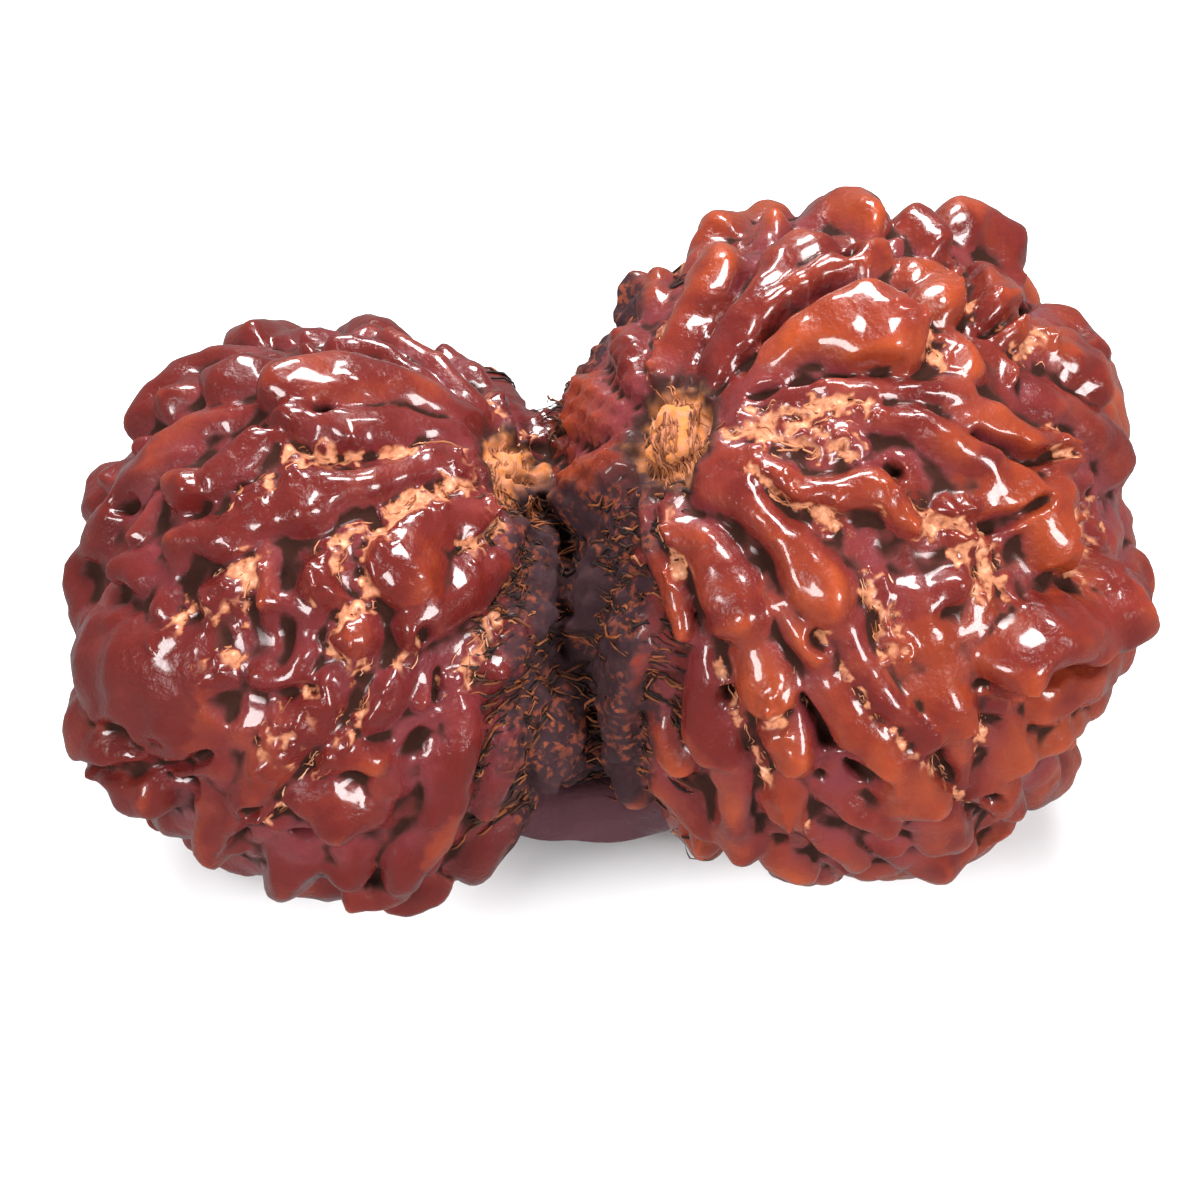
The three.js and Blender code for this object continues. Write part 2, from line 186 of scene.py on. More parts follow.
largeStreaks = [
    (0.9, (16, 74, 26, 72, 38, 72)),
    (0.6, (22, 81, 40, 82)),
    (0.6, (22, 54, 40, 50)),
    (0.8, (47, 61, 56, 59)),
    (0.9, (59, 62, 72, 55)),
    (0.6, (62, 56, 70, 51)),
    (0.7, (50, 42, 60, 34)),
    (0.6, (47, 104, 52, 100, 55, 95)),
    (0.7, (62, 111, 66, 109)),
    (0.9, (74, 101, 82, 103)),
    (0.7, (80, 84, 84, 80)),
    (0.6, (79, 32, 87, 30)),
    (0.9, (50, 8, 54, 5)),
    (1.9, (87, 69, 92, 72)),
    (0.5, (7, 350, 24, 353)),
    (0.5, (7, 185, 24, 184)),
    (0.5, (7, 60, 14, 70)),
    (0.35, (42, 356, 84, 351)),
    (0.35, (48, 25, 104, 18)),
]

# Narrow dark furrows: half width, depth, then their lines.
smallCuts = [
    (0.35, 0.8, (143, 58, 123, 43, 109, 36, 98, 35)),
    (0.35, 0.7, (102, 9, 93, 359)),
    (0.3, 0.6, (110, 16, 120, 9)),
    (0.3, 0.5, (79, 38, 69, 31)),
    (0.25, 0.5, (62, 81, 68, 81)),
    (0.3, 0.5, (81, 81, 75, 80)),
    (0.25, 0.5, (61, 95, 56, 92, 50, 82, 32, 80)),
    (0.25, 0.5, (50, 13, 56, 7)),
    (0.3, 0.6, (118, 36, 110, 29)),
    (0.25, 0.5, (6, 70, 6, 250)),
]

largeCuts = [
    (0.3, 0.7, (18, 109, 32, 123, 45, 121, 48, 113)),
    (0.25, 0.6, (18, 93, 29, 93, 46, 92)),
    (0.3, 0.7, (75, 128, 66, 112, 61, 102)),
    (0.35, 0.8, (66, 102, 81, 111, 96, 123)),
    (0.3, 0.8, (60, 79, 70, 77, 83, 82)),
    (0.35, 0.8, (55, 60, 66, 63, 74, 71)),
    (0.35, 0.9, (76, 38, 88, 46, 99, 53, 110, 60)),
    (0.3, 0.7, (52, 12, 63, 9, 67, 13)),
    (0.3, 0.6, (94, 40, 103, 45)),
    (0.25, 0.5, (10, 148, 40, 150)),
    (0.25, 0.5, (10, 110, 30, 118)),
]

# Hollows: angle down, angle round, radius and depth.
smallPits = [
    (67, 45, 1.0, 0.4),
    (88, 42, 0.8, 0.5),
    (66, 15, 0.7, 0.4),
    (65, 5, 0.6, 0.4),
]

largePits = [
    (89, 70, 2.2, 1.0),
    (90, 71, 0.8, 0.9),
    (72, 11, 0.8, 0.7),
    (83, 342, 0.5, 0.4),
    (68, 3, 0.4, 0.4),
]

smallBead = {
    "centre": (-9.69, -1.83, 10.3),
    "body": (8.8, 9.6, 9.3),
    "stalk": (0.72, 0.12, 0.68),
    "outward": -1,
    "footLift": 1.7,
    "tint": -0.7,  # the smaller bead is the darker one
    "subdivisions": 8,
    "ridges": smallRidges,
    "grooves": [(24, 16), (96, 92), (168, 170), (240, 238), (312, 314)],
    "streaks": smallStreaks,
    "cuts": smallCuts,
    "pits": smallPits,
}

largeBead = {
    "centre": (8.26, -0.13, 12.4),
    "body": (9.95, 11.6, 10.9),
    "stalk": (-0.61, -0.15, 0.778),
    "outward": 1,
    "footLift": 2.2,
    "tint": 0.0,
    "subdivisions": 8,
    "ridges": largeRidges,
    "grooves": [(24, 18), (68, 70), (128, 126), (190, 192), (252, 250), (355, 350)],
    "streaks": largeStreaks,
    "cuts": largeCuts,
    "pits": largePits,
}

neck = {
    "centre": (-1.59, -0.33, 8.9),
    "body": (5.0, 6.7, 7.0),
    "girth": 6.5,  # how long the waves on it run, round it and along x
    "alongX": 2.2,
    "ribs": 11,
    "ribShare": 0.06,
    "subdivisions": 7,
}

bridge = {"centre": (-0.99, -5.73, 4.4), "body": (4.8, 1.9, 2.0), "subdivisions": 6}

relief = {
    "base": 0.5,  # a ridge's height, with perHalf of its half width
    "perHalf": 0.75,
    "widest": 1.9,  # half width past which a ridge gets no higher
    "stalkEnd": 0.55,  # share of that height at the end nearest the stalk
    "crown": 2.2,  # how square a ridge's section is
    "shoulder": 0.62,
    "web": 0.28,  # share of a ridge's height that the web beside it has
    "webStart": 0.9,  # where the web starts and ends, in half widths
    "webEnd": 1.9,
    "blend": 0.4,  # how softly ridges run into each other
    "overhang": 0.35,
    "footHalf": 3.4,
    "jointShare": 0.75,
    "grooveHalf": 0.4,
    "grooveDepth": 0.9,
    "grooveStart": 46,
    "grooveEnd": 150,
    "scarRadius": 2.25,
    "scarDepth": 0.7,
    "plugShare": 0.74,  # how much of the scar the fibrous plug in its middle fills
    "plugHeight": 0.8,
    "wobble": 0.03,  # how far the whole pattern wanders, as a share of the radius
    "sway": 5.0,  # the wander's two wavelengths
    "fineSway": 2.2,
    "fineShare": 0.4,
    "crumble": 0.3,  # how far torn fibre stands out of a furrow
}

# Waves that keep the surface from looking drawn: wavelength, phase and height.
waves = {
    "lumps": (2.4, 5.0, 0.08),  # along a ridge's height
    "swell": (2.8, 7.0, 0.16),  # along its width
    "edge": (1.1, 3.0, 0.07),
    "bumps": (1.3, 2.0, 0.07),
    "pores": (0.5, 6.0, 0.02),
    "crumbs": (0.55, 1.0, 1.0),
    "grit": (0.38, 4.0, 0.5),
    "jointFibre": (0.6, 3.0, 0.17),
    "cutEdge": (1.3, 5.0, 0.25),
    "scarEdge": (1.0, 8.0, 0.1),
    "plugFibre": (0.5, 2.0, 0.05),
    "tornEdge": (1.1, 1.0, 0.35),
    "tornGrain": (0.45, 2.0, 0.3),
    "recessEdge": (1.4, 1.0, 0.5),
    "recessGrain": (0.5, 2.0, 0.3),
    "neckLumps": (1.6, 4.0, 0.025),
    "neckFibre": (0.55, 6.0, 0.024),
    "barLumps": (1.5, 3.0, 0.08),
}

# The rule that covers what the lists leave bare: half widths and lengths near a bead's two ends and
# round its middle. The last round is the small knobs between ridges.
fillRounds = [
    {
        "tries": 700,
        "end": (1.0, 1.2),
        "mid": (1.3, 2.1),
        "endLong": (16, 26),
        "midLong": (3, 14),
        "apart": 0.72,
        "from": 0,
    },
    {
        "tries": 700,
        "end": (1.0, 1.1),
        "mid": (1.0, 1.3),
        "endLong": (6, 12),
        "midLong": (1, 10),
        "apart": 0.8,
        "from": 0,
    },
    {
        "tries": 1000,
        "end": (0.4, 0.5),
        "mid": (0.4, 0.7),
        "endLong": (4, 9),
        "midLong": (1, 6),
        "apart": 0.85,
        "from": 52,
    },
]


def unit(vectors):
    return vectors / np.linalg.norm(vectors, axis=-1, keepdims=True)


def smoothStep(low, high, x):
    # also falls, where low is over high
    t = np.clip((x - low) / (high - low), 0, 1)
    return t * t * (3 - 2 * t)


def softMax(a, b, reach):
    meet = np.maximum(reach - np.abs(a - b), 0) / reach
    return np.maximum(a, b) + meet * meet * reach / 4


def makeDraw(start):
    # the same small number generator as the solid's, so both draw the same ridges
    state = [start]

    def draw(low, high):
        state[0] = state[0] * 16807 % 2147483647
        return low + (high - low) * (state[0] / 2147483647)

    return draw


def ripple(points, wavelength, phase):
    # smooth and never quite repeating, from -1 to 1
    total = np.zeros(len(points))
    for i in range(5):
        turn = 2.4 * i + phase
        rise = 0.8 - 0.4 * i
        direction = np.array((math.cos(turn), math.sin(turn), rise))
        direction /= np.linalg.norm(direction)
        stretch = 2 * math.pi / (wavelength * (0.8 + 0.13 * i))
        total += np.sin(points @ direction * stretch + 1.7 * i + 3.1 * phase)
    return total / 2.6


def wave(points, name):
    wavelength, phase, height = waves[name]
    return height * ripple(points, wavelength, phase)


def setAxes(bead):
    stalk = unit(np.array(bead["stalk"], float))
    front = np.array((0.0, -1.0, 0.0))
    front = unit(front - stalk * front.dot(stalk))
    bead["axes"] = (stalk, front, np.cross(stalk, front) * bead["outward"])
    bead["radius"] = sum(bead["body"]) / 3 + 1
    bead["crests"] = []


def spotAt(bead, down, turn):
    stalk, front, side = bead["axes"]
    d, r = math.radians(down), math.radians(turn)
    return math.cos(d) * stalk + math.sin(d) * (math.cos(r) * front + math.sin(r) * side)


def lineThrough(bead, angles):
    return np.array([spotAt(bead, *angles[i:i + 2]) for i in range(0, len(angles), 2)])


def nearestOnLine(line, spots):
    gap = np.full(len(spots), np.inf)
    along = np.zeros(len(spots))
    legs = len(line) - 1
    for i in range(legs):
        leg = line[i + 1] - line[i]
        share = np.clip((spots - line[i]) @ leg / leg.dot(leg), 0, 1)
        near = unit(line[i] + share[:, None] * leg)
        reach = np.linalg.norm(near - spots, axis=1)
        closer = reach < gap
        gap[closer] = reach[closer]
        along[closer] = (i + share[closer]) / legs
    return gap, along


def addCrest(bead, line, halfStart, halfEnd, lift=None):
    bead["crests"].append({"line": line, "halfStart": halfStart, "halfEnd": halfEnd, "lift": lift})


def isBare(bead, line, half, apart):
    for crest in bead["crests"]:
        gap, along = nearestOnLine(crest["line"], line)
        room = half + crest["halfStart"] + (crest["halfEnd"] - crest["halfStart"]) * along
        if np.any(gap * bead["radius"] <= room * apart):
            return False
    return True


def fillBare(bead, draw, rounds):
    endZone = 48  # degrees from the stalk scar, and from the far end
    clearOfScar, lastStart = 15, 164
    for step in rounds:
        for _ in range(step["tries"]):
            down = math.degrees(math.acos(draw(-0.985, 0.966)))
            turn = draw(0, 360)
            atEnd = down < endZone or down > 180 - endZone
            half = draw(*step["end" if atEnd else "mid"])
            length = draw(*step["endLong" if atEnd else "midLong"])
            slant = draw(-0.5, 0.5) * (4 if atEnd else length * 1.6)
            bend = draw(-0.5, 0.5) * (3 if atEnd else length)
            start = min(max(down - length / 2, clearOfScar), lastStart)
            middle = min(max(down, clearOfScar + 1), lastStart + 3)
            end = min(max(down + length / 2, clearOfScar + 2), lastStart + 6)
            line = lineThrough(bead, (start, turn - slant, middle, turn + bend, end, turn + slant))
            if down > step["from"] and isBare(bead, line, half, step["apart"]):
                addCrest(bead, line, half, half * 1.15)


def layOutBead(bead, draw, thinnest):
    setAxes(bead)
    down = np.array((0.0, 0.0, -1.0))
    aside = unit(down + 0.02 * bead["axes"][1])
    addCrest(bead, np.array([down, aside]), relief["footHalf"], relief["footHalf"], bead["footLift"])
    for halfStart, halfEnd, angles, *lift in bead["ridges"]:
        line = lineThrough(bead, angles)
        addCrest(bead, line, max(halfStart, thinnest), max(halfEnd, thinnest), lift[0] if lift else None)
    fillBare(bead, draw, fillRounds[:2])


def crestField(bead, spots):
    # height of the ridges at each spot, and a tone from 0 to 1 that each ridge has of its own
    height = np.zeros(len(spots))
    tone = np.full(len(spots), 0.35)
    radius = bead["radius"]
    skin = spots * radius
    long, fine, fineShare = relief["sway"], relief["fineSway"], relief["fineShare"]
    wander = [ripple(skin, long, k) + fineShare * ripple(skin, fine, k + 9) for k in range(3)]
    sway = unit(spots + relief["wobble"] * np.stack(wander, axis=1))
    # the ridges by the stalk are plainer
    knobby = 0.35 + 0.65 * smoothStep(0.75, 0.35, spots @ bead["axes"][0])
    lumps = wave(skin, "lumps") * knobby
    swell = wave(skin, "swell") * knobby
    edge = wave(skin, "edge") * knobby
    for number, crest in enumerate(bead["crests"]):
        line, halfMost = crest["line"], max(crest["halfStart"], crest["halfEnd"])
        middle = unit(line.sum(axis=0))
        spread = np.linalg.norm(line - middle, axis=1).max() + 2.2 * halfMost / radius
        near = np.nonzero(np.linalg.norm(sway - middle, axis=1) < spread)[0]
        if not len(near):
            continue
        gap, along = nearestOnLine(line, sway[near])
        half = crest["halfStart"] + (crest["halfEnd"] - crest["halfStart"]) * along
        share = gap * radius / (half * (1 + swell[near]))
        share = np.maximum(share + edge[near], 0)
        if crest["lift"] is None:
            lift = relief["base"] + relief["perHalf"] * np.minimum(half, relief["widest"])
            lift = lift * (relief["stalkEnd"] + (1 - relief["stalkEnd"]) * np.sqrt(along))
        else:
            lift = crest["lift"]
        # the wide ones are flatter on top
        rise = 1 - share ** (relief["crown"] + smoothStep(1.2, 2.0, half))
        own = lift * np.sign(rise) * np.abs(rise) ** relief["shoulder"] * (1 + lumps[near])
        web = 1 - smoothStep(relief["webStart"], relief["webEnd"], share)
        own = np.maximum(own, lift * relief["web"] * web - 0.02)
        before = height[near]
        tone[near] = np.where(own > before, (number * 0.618) % 1, tone[near])
        height[near] = softMax(before, own, relief["blend"])
    toward = -np.sign(bead["centre"][0]) * spots[:, 0]
    fade = 1 - (1 - relief["jointShare"]) * smoothStep(0.6, 0.95, toward)
    return height * fade, tone


def carvedDepth(bead, spots):
    radius = bead["radius"]
    skin = spots * radius
    depth = np.zeros(len(spots))
    for start, end in bead["grooves"]:
        line = lineThrough(bead, (relief["grooveStart"], start, relief["grooveEnd"], end))
        share = nearestOnLine(line, spots)[0] * radius / relief["grooveHalf"]
        depth = np.maximum(depth, relief["grooveDepth"] * np.maximum(1 - share * share, 0))
    ragged = wave(skin, "cutEdge")
    for half, deep, angles in bead["cuts"]:
        gap, along = nearestOnLine(lineThrough(bead, angles), spots)
        narrowing = 0.5 + np.sqrt(np.minimum(along, 1 - along))
        share = gap * radius / (half * narrowing) + ragged
        depth = np.maximum(depth, deep * np.clip(1 - share * share, 0, 1))
    for down, turn, size, deep in bead["pits"]:
        away = np.linalg.norm(spots - spotAt(bead, down, turn), axis=1) * radius
        away *= 1 + 0.9 * ragged
        depth += deep * np.maximum(1 - (away / size) ** 2, 0)
    fromScar = np.linalg.norm(spots - bead["axes"][0], axis=1) * radius / relief["scarRadius"]
    fromScar += wave(skin, "scarEdge")
    depth += relief["scarDepth"] * (1 - smoothStep(0.6, 1, fromScar))
    plug = 1 - smoothStep(relief["plugShare"] * 0.5, relief["plugShare"], fromScar)
    return depth - (relief["plugHeight"] + wave(skin, "plugFibre")) * plug


def streakCover(bead, spots):
    # from 0 to 1 where torn fibre is left in a furrow
    radius = bead["radius"]
    ragged = wave(spots * radius, "tornEdge") + wave(spots * radius, "tornGrain")
    cover = np.zeros(len(spots))
    for half, angles in bead["streaks"]:
        gap = nearestOnLine(lineThrough(bead, angles), spots)[0] * radius / half
        cover = np.maximum(cover, 1 - smoothStep(0.2, 1.0, gap + ragged))
    return cover


def swellBead(bead, spots):
    skin = spots * bead["radius"]
    ridge, _ = crestField(bead, spots)
    height = ridge - carvedDepth(bead, spots)
    height += wave(skin, "bumps") + wave(skin, "pores")
    crumbs = np.abs(wave(skin, "crumbs")) + wave(skin, "grit")
    height += relief["crumble"] * streakCover(bead, spots) * crumbs
    toJoint = smoothStep(0.55, 0.8, -np.sign(bead["centre"][0]) * spots[:, 0])
    height += toJoint * wave(skin, "jointFibre")
    stalk = bead["axes"][0]
    lean = (spots * (spots @ stalk)[:, None] - stalk) * (relief["overhang"] * ridge)[:, None]
    points = np.array(bead["centre"]) + (np.array(bead["body"]) + height[:, None]) * spots + lean
    points[:, 2] = np.maximum(points[:, 2], 0)
    return points


def swellNeck(spots):
    turn = np.arctan2(spots[:, 1], spots[:, 2])
    swell = 1 + neck["ribShare"] * np.cos(neck["ribs"] * turn)
    swell += wave(spots * neck["girth"], "neckLumps")
    # fibres that run across the joint, so slow along x and quick round it
    swell += wave(spots * (neck["alongX"], neck["girth"], neck["girth"]), "neckFibre")
    shape = spots * np.stack([np.ones(len(spots)), swell, swell], axis=1)
    return np.array(neck["centre"]) + shape * np.array(neck["body"])


def swellBridge(spots):
    swell = 1 + wave(spots * 2, "barLumps")
    return np.array(bridge["centre"]) + spots * swell[:, None] * np.array(bridge["body"])


def readPoints(mesh):
    flat = np.empty(len(mesh.vertices) * 3)
    mesh.vertices.foreach_get("co", flat)
    return flat.reshape(-1, 3)


def writePoints(mesh, points):
    mesh.vertices.foreach_set("co", np.ascontiguousarray(points).ravel())
    mesh.update()


def roundLump(swell, subdivisions, name):
    bm = bmesh.new()
    bmesh.ops.create_icosphere(bm, subdivisions=subdivisions, radius=1)
    mesh = bpy.data.meshes.new(name)
    bm.to_mesh(mesh)
    bm.free()
    writePoints(mesh, swell(unit(readPoints(mesh))))
    return mesh


def finishModifiers(obj):
    # puts the object's modifiers into its mesh
    shaped = bpy.data.meshes.new_from_object(obj.evaluated_get(bpy.context.evaluated_depsgraph_get()))
    obj.modifiers.clear()
    old = obj.data
    obj.data = shaped
    bpy.data.meshes.remove(old)


def joinLumps(meshes, name):
    bm = bmesh.new()
    for mesh in meshes:
        bm.from_mesh(mesh)
        bpy.data.meshes.remove(mesh)
    joined = bpy.data.meshes.new(name)
    bm.to_mesh(joined)
    bm.free()
    obj = bpy.data.objects.new(name, joined)
    bpy.context.scene.collection.objects.link(obj)
    return obj


def makeHusk():
    settings = {
        "seed": 4127,
        "thinnest": 1.0,
        "voxel": 0.14,
        "easeFactor": 0.4,
        "easeRounds": 2,
        "triangles": 190000,
    }
    draw = makeDraw(settings["seed"])
    for bead in (smallBead, largeBead):
        layOutBead(bead, draw, settings["thinnest"])
    for bead in (smallBead, largeBead):
        # true widths for the fine ridges, once the rule has filled round the solid's own
        for crest, row in zip(bead["crests"][1:], bead["ridges"]):
            crest["halfStart"], crest["halfEnd"] = row[0], row[1]
        fillBare(bead, draw, fillRounds[2:])
        print("ridges on the bead:", len(bead["crests"]))
    lumps = [
        roundLump(lambda spots: swellBead(smallBead, spots), smallBead["subdivisions"], "smallLump"),
        roundLump(lambda spots: swellBead(largeBead, spots), largeBead["subdivisions"], "largeLump"),
        roundLump(swellNeck, neck["subdivisions"], "neckLump"),
        roundLump(swellBridge, bridge["subdivisions"], "bridgeLump"),
    ]
    husk = joinLumps(lumps, "seedHusk")
    remesh = husk.modifiers.new("oneSkin", "REMESH")
    remesh.mode = "VOXEL"
    remesh.voxel_size = settings["voxel"]
    ease = husk.modifiers.new("ease", "SMOOTH")
    ease.factor = settings["easeFactor"]
    ease.iterations = settings["easeRounds"]
    finishModifiers(husk)
    print("husk in one skin:", len(husk.data.polygons), "faces")
    triangles = sum(len(p.vertices) - 2 for p in husk.data.polygons)
    thin = husk.modifiers.new("thin", "DECIMATE")
    thin.ratio = settings["triangles"] / triangles
    finishModifiers(husk)
    print("husk thinned:", len(husk.data.polygons), "faces")
    return husk


def meshEdges(mesh):
    edges = np.empty(len(mesh.edges) * 2, np.int64)
    mesh.edges.foreach_get("vertices", edges)
    return edges.reshape(-1, 2)


def neighbourMean(values, edges, count):
    # the mean over each vertex's neighbours
    ends = np.concatenate([edges[:, 0], edges[:, 1]])
    others = np.concatenate([edges[:, 1], edges[:, 0]])
    degree = np.maximum(np.bincount(ends, minlength=count), 1)
    if values.ndim == 1:
        return np.bincount(ends, weights=values[others], minlength=count) / degree
    columns = [np.bincount(ends, weights=values[others, k], minlength=count) / degree for k in range(3)]
    return np.stack(columns, axis=1)


def hollowness(points, normals, edges, rounds):
    # how far the surface lies under its own smoothed shape, in millimetres
    smooth = points
    for _ in range(rounds):
        smooth = neighbourMean(smooth, edges, len(points))
    return ((smooth - points) * normals).sum(axis=1)


def setMask(mesh, name, values):
    attribute = mesh.attributes.new(name, "FLOAT", "POINT")
    attribute.data.foreach_set("value", values.astype(np.float32))


def heightInView(points):
    # how high up the photo's view a point is, in millimetres from the view's middle
    tilt = math.radians(view["elevation"])
    return points[..., 2] * math.cos(tilt) + points[..., 1] * math.sin(tilt) - view["middle"]


def markJoint(points):
    # the neck's dark fibre, and the recess between the beads, below the scars and behind, dark partly from
    # its own fibre and partly as painted shade
    recess = {"x": -1.1, "half": (2.0, 3.0), "top": (3.6, 5.0), "back": (4.2, 5.6)}
    ragged = wave(points, "recessEdge") + wave(points, "recessGrain")
    middle = (points - np.array(neck["centre"])) / np.array(neck["body"])
    inNeck = 1 - smoothStep(0.98, 1.2, np.linalg.norm(middle, axis=1))
    between = 1 - smoothStep(*recess["half"], np.abs(points[:, 0] - recess["x"]) + 0.9 * ragged)
    below = 1 - smoothStep(*recess["top"], heightInView(points) + 0.5 * ragged)
    below = np.maximum(below, smoothStep(*recess["back"], points[:, 1] + 0.5 * ragged))
    return np.maximum(inNeck, between) * below


def markBar(points):
    away = np.linalg.norm((points - np.array(bridge["centre"])) / np.array(bridge["body"]), axis=1)
    return (1 - smoothStep(1.05, 1.2, away)) * smoothStep(-5.6, -6.6, points[:, 1])


def paintHusk(husk):
    broad, narrow = 24, 4  # rounds of smoothing that each hollow is measured against
    mesh = husk.data
    points = readPoints(mesh)
    count = len(points)
    flat = np.empty(count * 3)
    mesh.vertices.foreach_get("normal", flat)
    normals = flat.reshape(-1, 3)
    edges = meshEdges(mesh)
    # hollow and crease drive the painted crease shade and the painted glow on raised tips in the husk
    # material
    setMask(mesh, "hollow", hollowness(points, normals, edges, broad))
    setMask(mesh, "crease", hollowness(points, normals, edges, narrow))
    beads = (smallBead, largeBead)
    ways = [(points - np.array(b["centre"])) / np.array(b["body"]) for b in beads]
    reach = [np.linalg.norm(way, axis=1) for way in ways]
    onLarge = reach[1] < reach[0]
    lift, tone, streak, scar, rim = (np.zeros(count) for _ in range(5))
    for bead, way, far, mine in zip(beads, ways, reach, (~onLarge, onLarge)):
        spots = way[mine] / far[mine, None]
        radius = bead["radius"]
        lift[mine] = (far[mine] - 1) * (radius - 1)
        tone[mine] = crestField(bead, spots)[1] + bead["tint"]
        streak[mine] = streakCover(bead, spots)
        ragged = wave(spots * radius, "tornEdge") + wave(spots * radius, "tornGrain")
        away = np.linalg.norm(spots - bead["axes"][0], axis=1) * radius / relief["scarRadius"]
        away += 0.25 * ragged
        plug = relief["plugShare"]
        scar[mine] = 1 - smoothStep(plug * 0.8, plug * 1.25, away)
        rim[mine] = 1 - smoothStep(0.9, 1.25, away)
    setMask(mesh, "lift", lift)
    setMask(mesh, "tone", tone)
    setMask(mesh, "streak", streak)
    setMask(mesh, "scar", scar)
    setMask(mesh, "scarRim", rim)
    # the neck's dark fibre, with painted shade over the recess between the beads
    setMask(mesh, "neckDarkAndShade", markJoint(points))
    setMask(mesh, "bar", markBar(points))
    print("husk painted")


# Fibre strands

def strandShape(segments):
    # a slim four-sided strand of unit length along Z, tapering to both ends
    bm = bmesh.new()
    bmesh.ops.create_cone(bm, cap_ends=True, segments=4, radius1=1, radius2=1, depth=1)
    bmesh.ops.translate(bm, verts=bm.verts, vec=(0, 0, 0.5))
    for i in range(1, segments):
        everything = bm.verts[:] + bm.edges[:] + bm.faces[:]
        bmesh.ops.bisect_plane(bm, geom=everything, plane_co=(0, 0, i / segments), plane_no=(0, 0, 1))
    for vertex in bm.verts:
        girth = 0.3 + 0.7 * math.sin(math.pi * min(max(vertex.co.z, 0.0), 1.0)) ** 0.6
        vertex.co.x *= girth
        vertex.co.y *= girth
    bm.normal_update()
    return bm


def growStrands(name, strands, husk, segments=5):
    # a strand is its start and end, its girth, its height over the husk, its shade and its bow sideways
    skin = husk.data
    surface = BVHTree.FromPolygons([v.co for v in skin.vertices], [p.vertices for p in skin.polygons])
    shape = strandShape(segments)
    pattern = bpy.data.meshes.new("strandShape")
    shape.to_mesh(pattern)
    shape.free()
    bm = bmesh.new()
    shade = bm.verts.layers.float.new("shade")
    kept = 0
    stretchMost = 1.4
    for start, end, girth, height, tone, bow in strands:
        feet = [surface.find_nearest(Vector(start + (end - start) * k))[0] for k in (0, 0.5, 1)]
        stretch = (feet[1] - feet[0]).length + (feet[2] - feet[1]).length
        if stretch > stretchMost * np.linalg.norm(end - start):
            continue  # it would hang across a gap
        kept += 1
        before = len(bm.verts)
        bm.from_mesh(pattern)
        bm.verts.ensure_lookup_table()
        way = Vector(end - start)
        for vertex in bm.verts[before:]:
            along = min(max(vertex.co.z, 0.0), 1.0)
            place = Vector(start) + way * along
            near, normal, _, _ = surface.find_nearest(place)
            across = way.cross(normal).normalized()
            curve = math.sin(math.pi * along)
            spine = near + normal * (height * (0.25 + curve)) + across * (bow * curve)
            x, y = vertex.co.x, vertex.co.y
            vertex.co = spine + across * (x * girth) + normal * (y * girth)
            vertex.co.z = max(vertex.co.z, 0.0)
            vertex[shade] = tone
    mesh = bpy.data.meshes.new(name)
    bm.to_mesh(mesh)
    bm.free()
    bpy.data.meshes.remove(pattern)
    obj = bpy.data.objects.new(name, mesh)
    bpy.context.scene.collection.objects.link(obj)
    print(name, "has", kept, "strands and", len(mesh.polygons), "faces")
    return obj


def onBead(bead, spot):
    return np.array(bead["centre"]) + np.array(bead["body"]) * spot


def streakStrands(bead, draw, settings):
    # short tan strands lying roughly along every streak
    radius = bead["radius"]
    strands = []
    for half, angles in bead["streaks"]:
        line = lineThrough(bead, angles)
        for first, last in zip(line[:-1], line[1:]):
            way = last - first
            count = int(settings["perMillimetre"] * np.linalg.norm(way) * radius * min(half, 0.8))
            for _ in range(count):
                spot = unit(first + way * draw(0, 1))
                across = unit(np.cross(spot, way))
                spot = unit(spot + across * draw(*settings["aside"]) * half / radius)
                turn = draw(-settings["turn"], settings["turn"])
                heading = unit(way) * math.cos(turn) + across * math.sin(turn)
                reach = draw(*settings["long"]) / radius / 2
                ends = [onBead(bead, unit(spot + heading * reach * k)) for k in (-1, 1)]
                shade, bow = draw(*settings["shade"]), draw(*settings["bow"])
                girth, height = draw(*settings["girth"]), draw(*settings["height"])
                strands.append((*ends, girth, height, shade, bow))
    return strands


def plugStrands(bead, draw, settings):
    # packed fibres on a stalk scar's plug, running mostly one way
    radius = bead["radius"]
    stalk, front, side = bead["axes"]
    strands = []
    for _ in range(settings["plugStrands"]):
        turn = draw(0, 2 * math.pi)
        out = draw(0, settings["plugRadius"]) / radius
        root = unit(stalk + (front * math.cos(turn) + side * math.sin(turn)) * out)
        lean, reach = draw(*settings["plugLean"]), draw(*settings["plugReach"])
        heading = (front * math.cos(lean) + side * math.sin(lean)) * reach / radius
        ends = [onBead(bead, unit(root + heading * k)) for k in (-1, 1)]
        girth, height = draw(*settings["plugGirth"]), draw(*settings["plugHeight"])
        strands.append((*ends, girth, height, draw(*settings["plugShade"]), draw(*settings["plugBow"])))
    return strands


def furrowStrands():
    settings = {
        "seed": 88,
        "perMillimetre": 8,
        "long": (0.4, 1.3),
        "aside": (-0.75, 0.75),  # off the streak's line, as shares of its half width
        "turn": 0.4,
        "girth": (0.02, 0.05),
        "height": (-0.02, 0.04),
        "shade": (0.3, 0.85),
        "bow": (-0.2, 0.2),
        "plugStrands": 300,
        "plugRadius": 1.6,
        "plugLean": (-0.45, 0.45),
        "plugReach": (0.2, 0.45),
        "plugGirth": (0.03, 0.08),
        "plugHeight": (-0.03, 0.04),
        "plugShade": (0.26, 0.62),
        "plugBow": (-0.1, 0.1),
    }
    draw = makeDraw(settings["seed"])
    strands = []
    for bead in (smallBead, largeBead):
        strands += streakStrands(bead, draw, settings)
        strands += plugStrands(bead, draw, settings)
    return strands


def isBareSkin(place):
    # smooth skin shows between the scars, at the joint's top
    return heightInView(place) > 3.8 and place[1] < 5.5


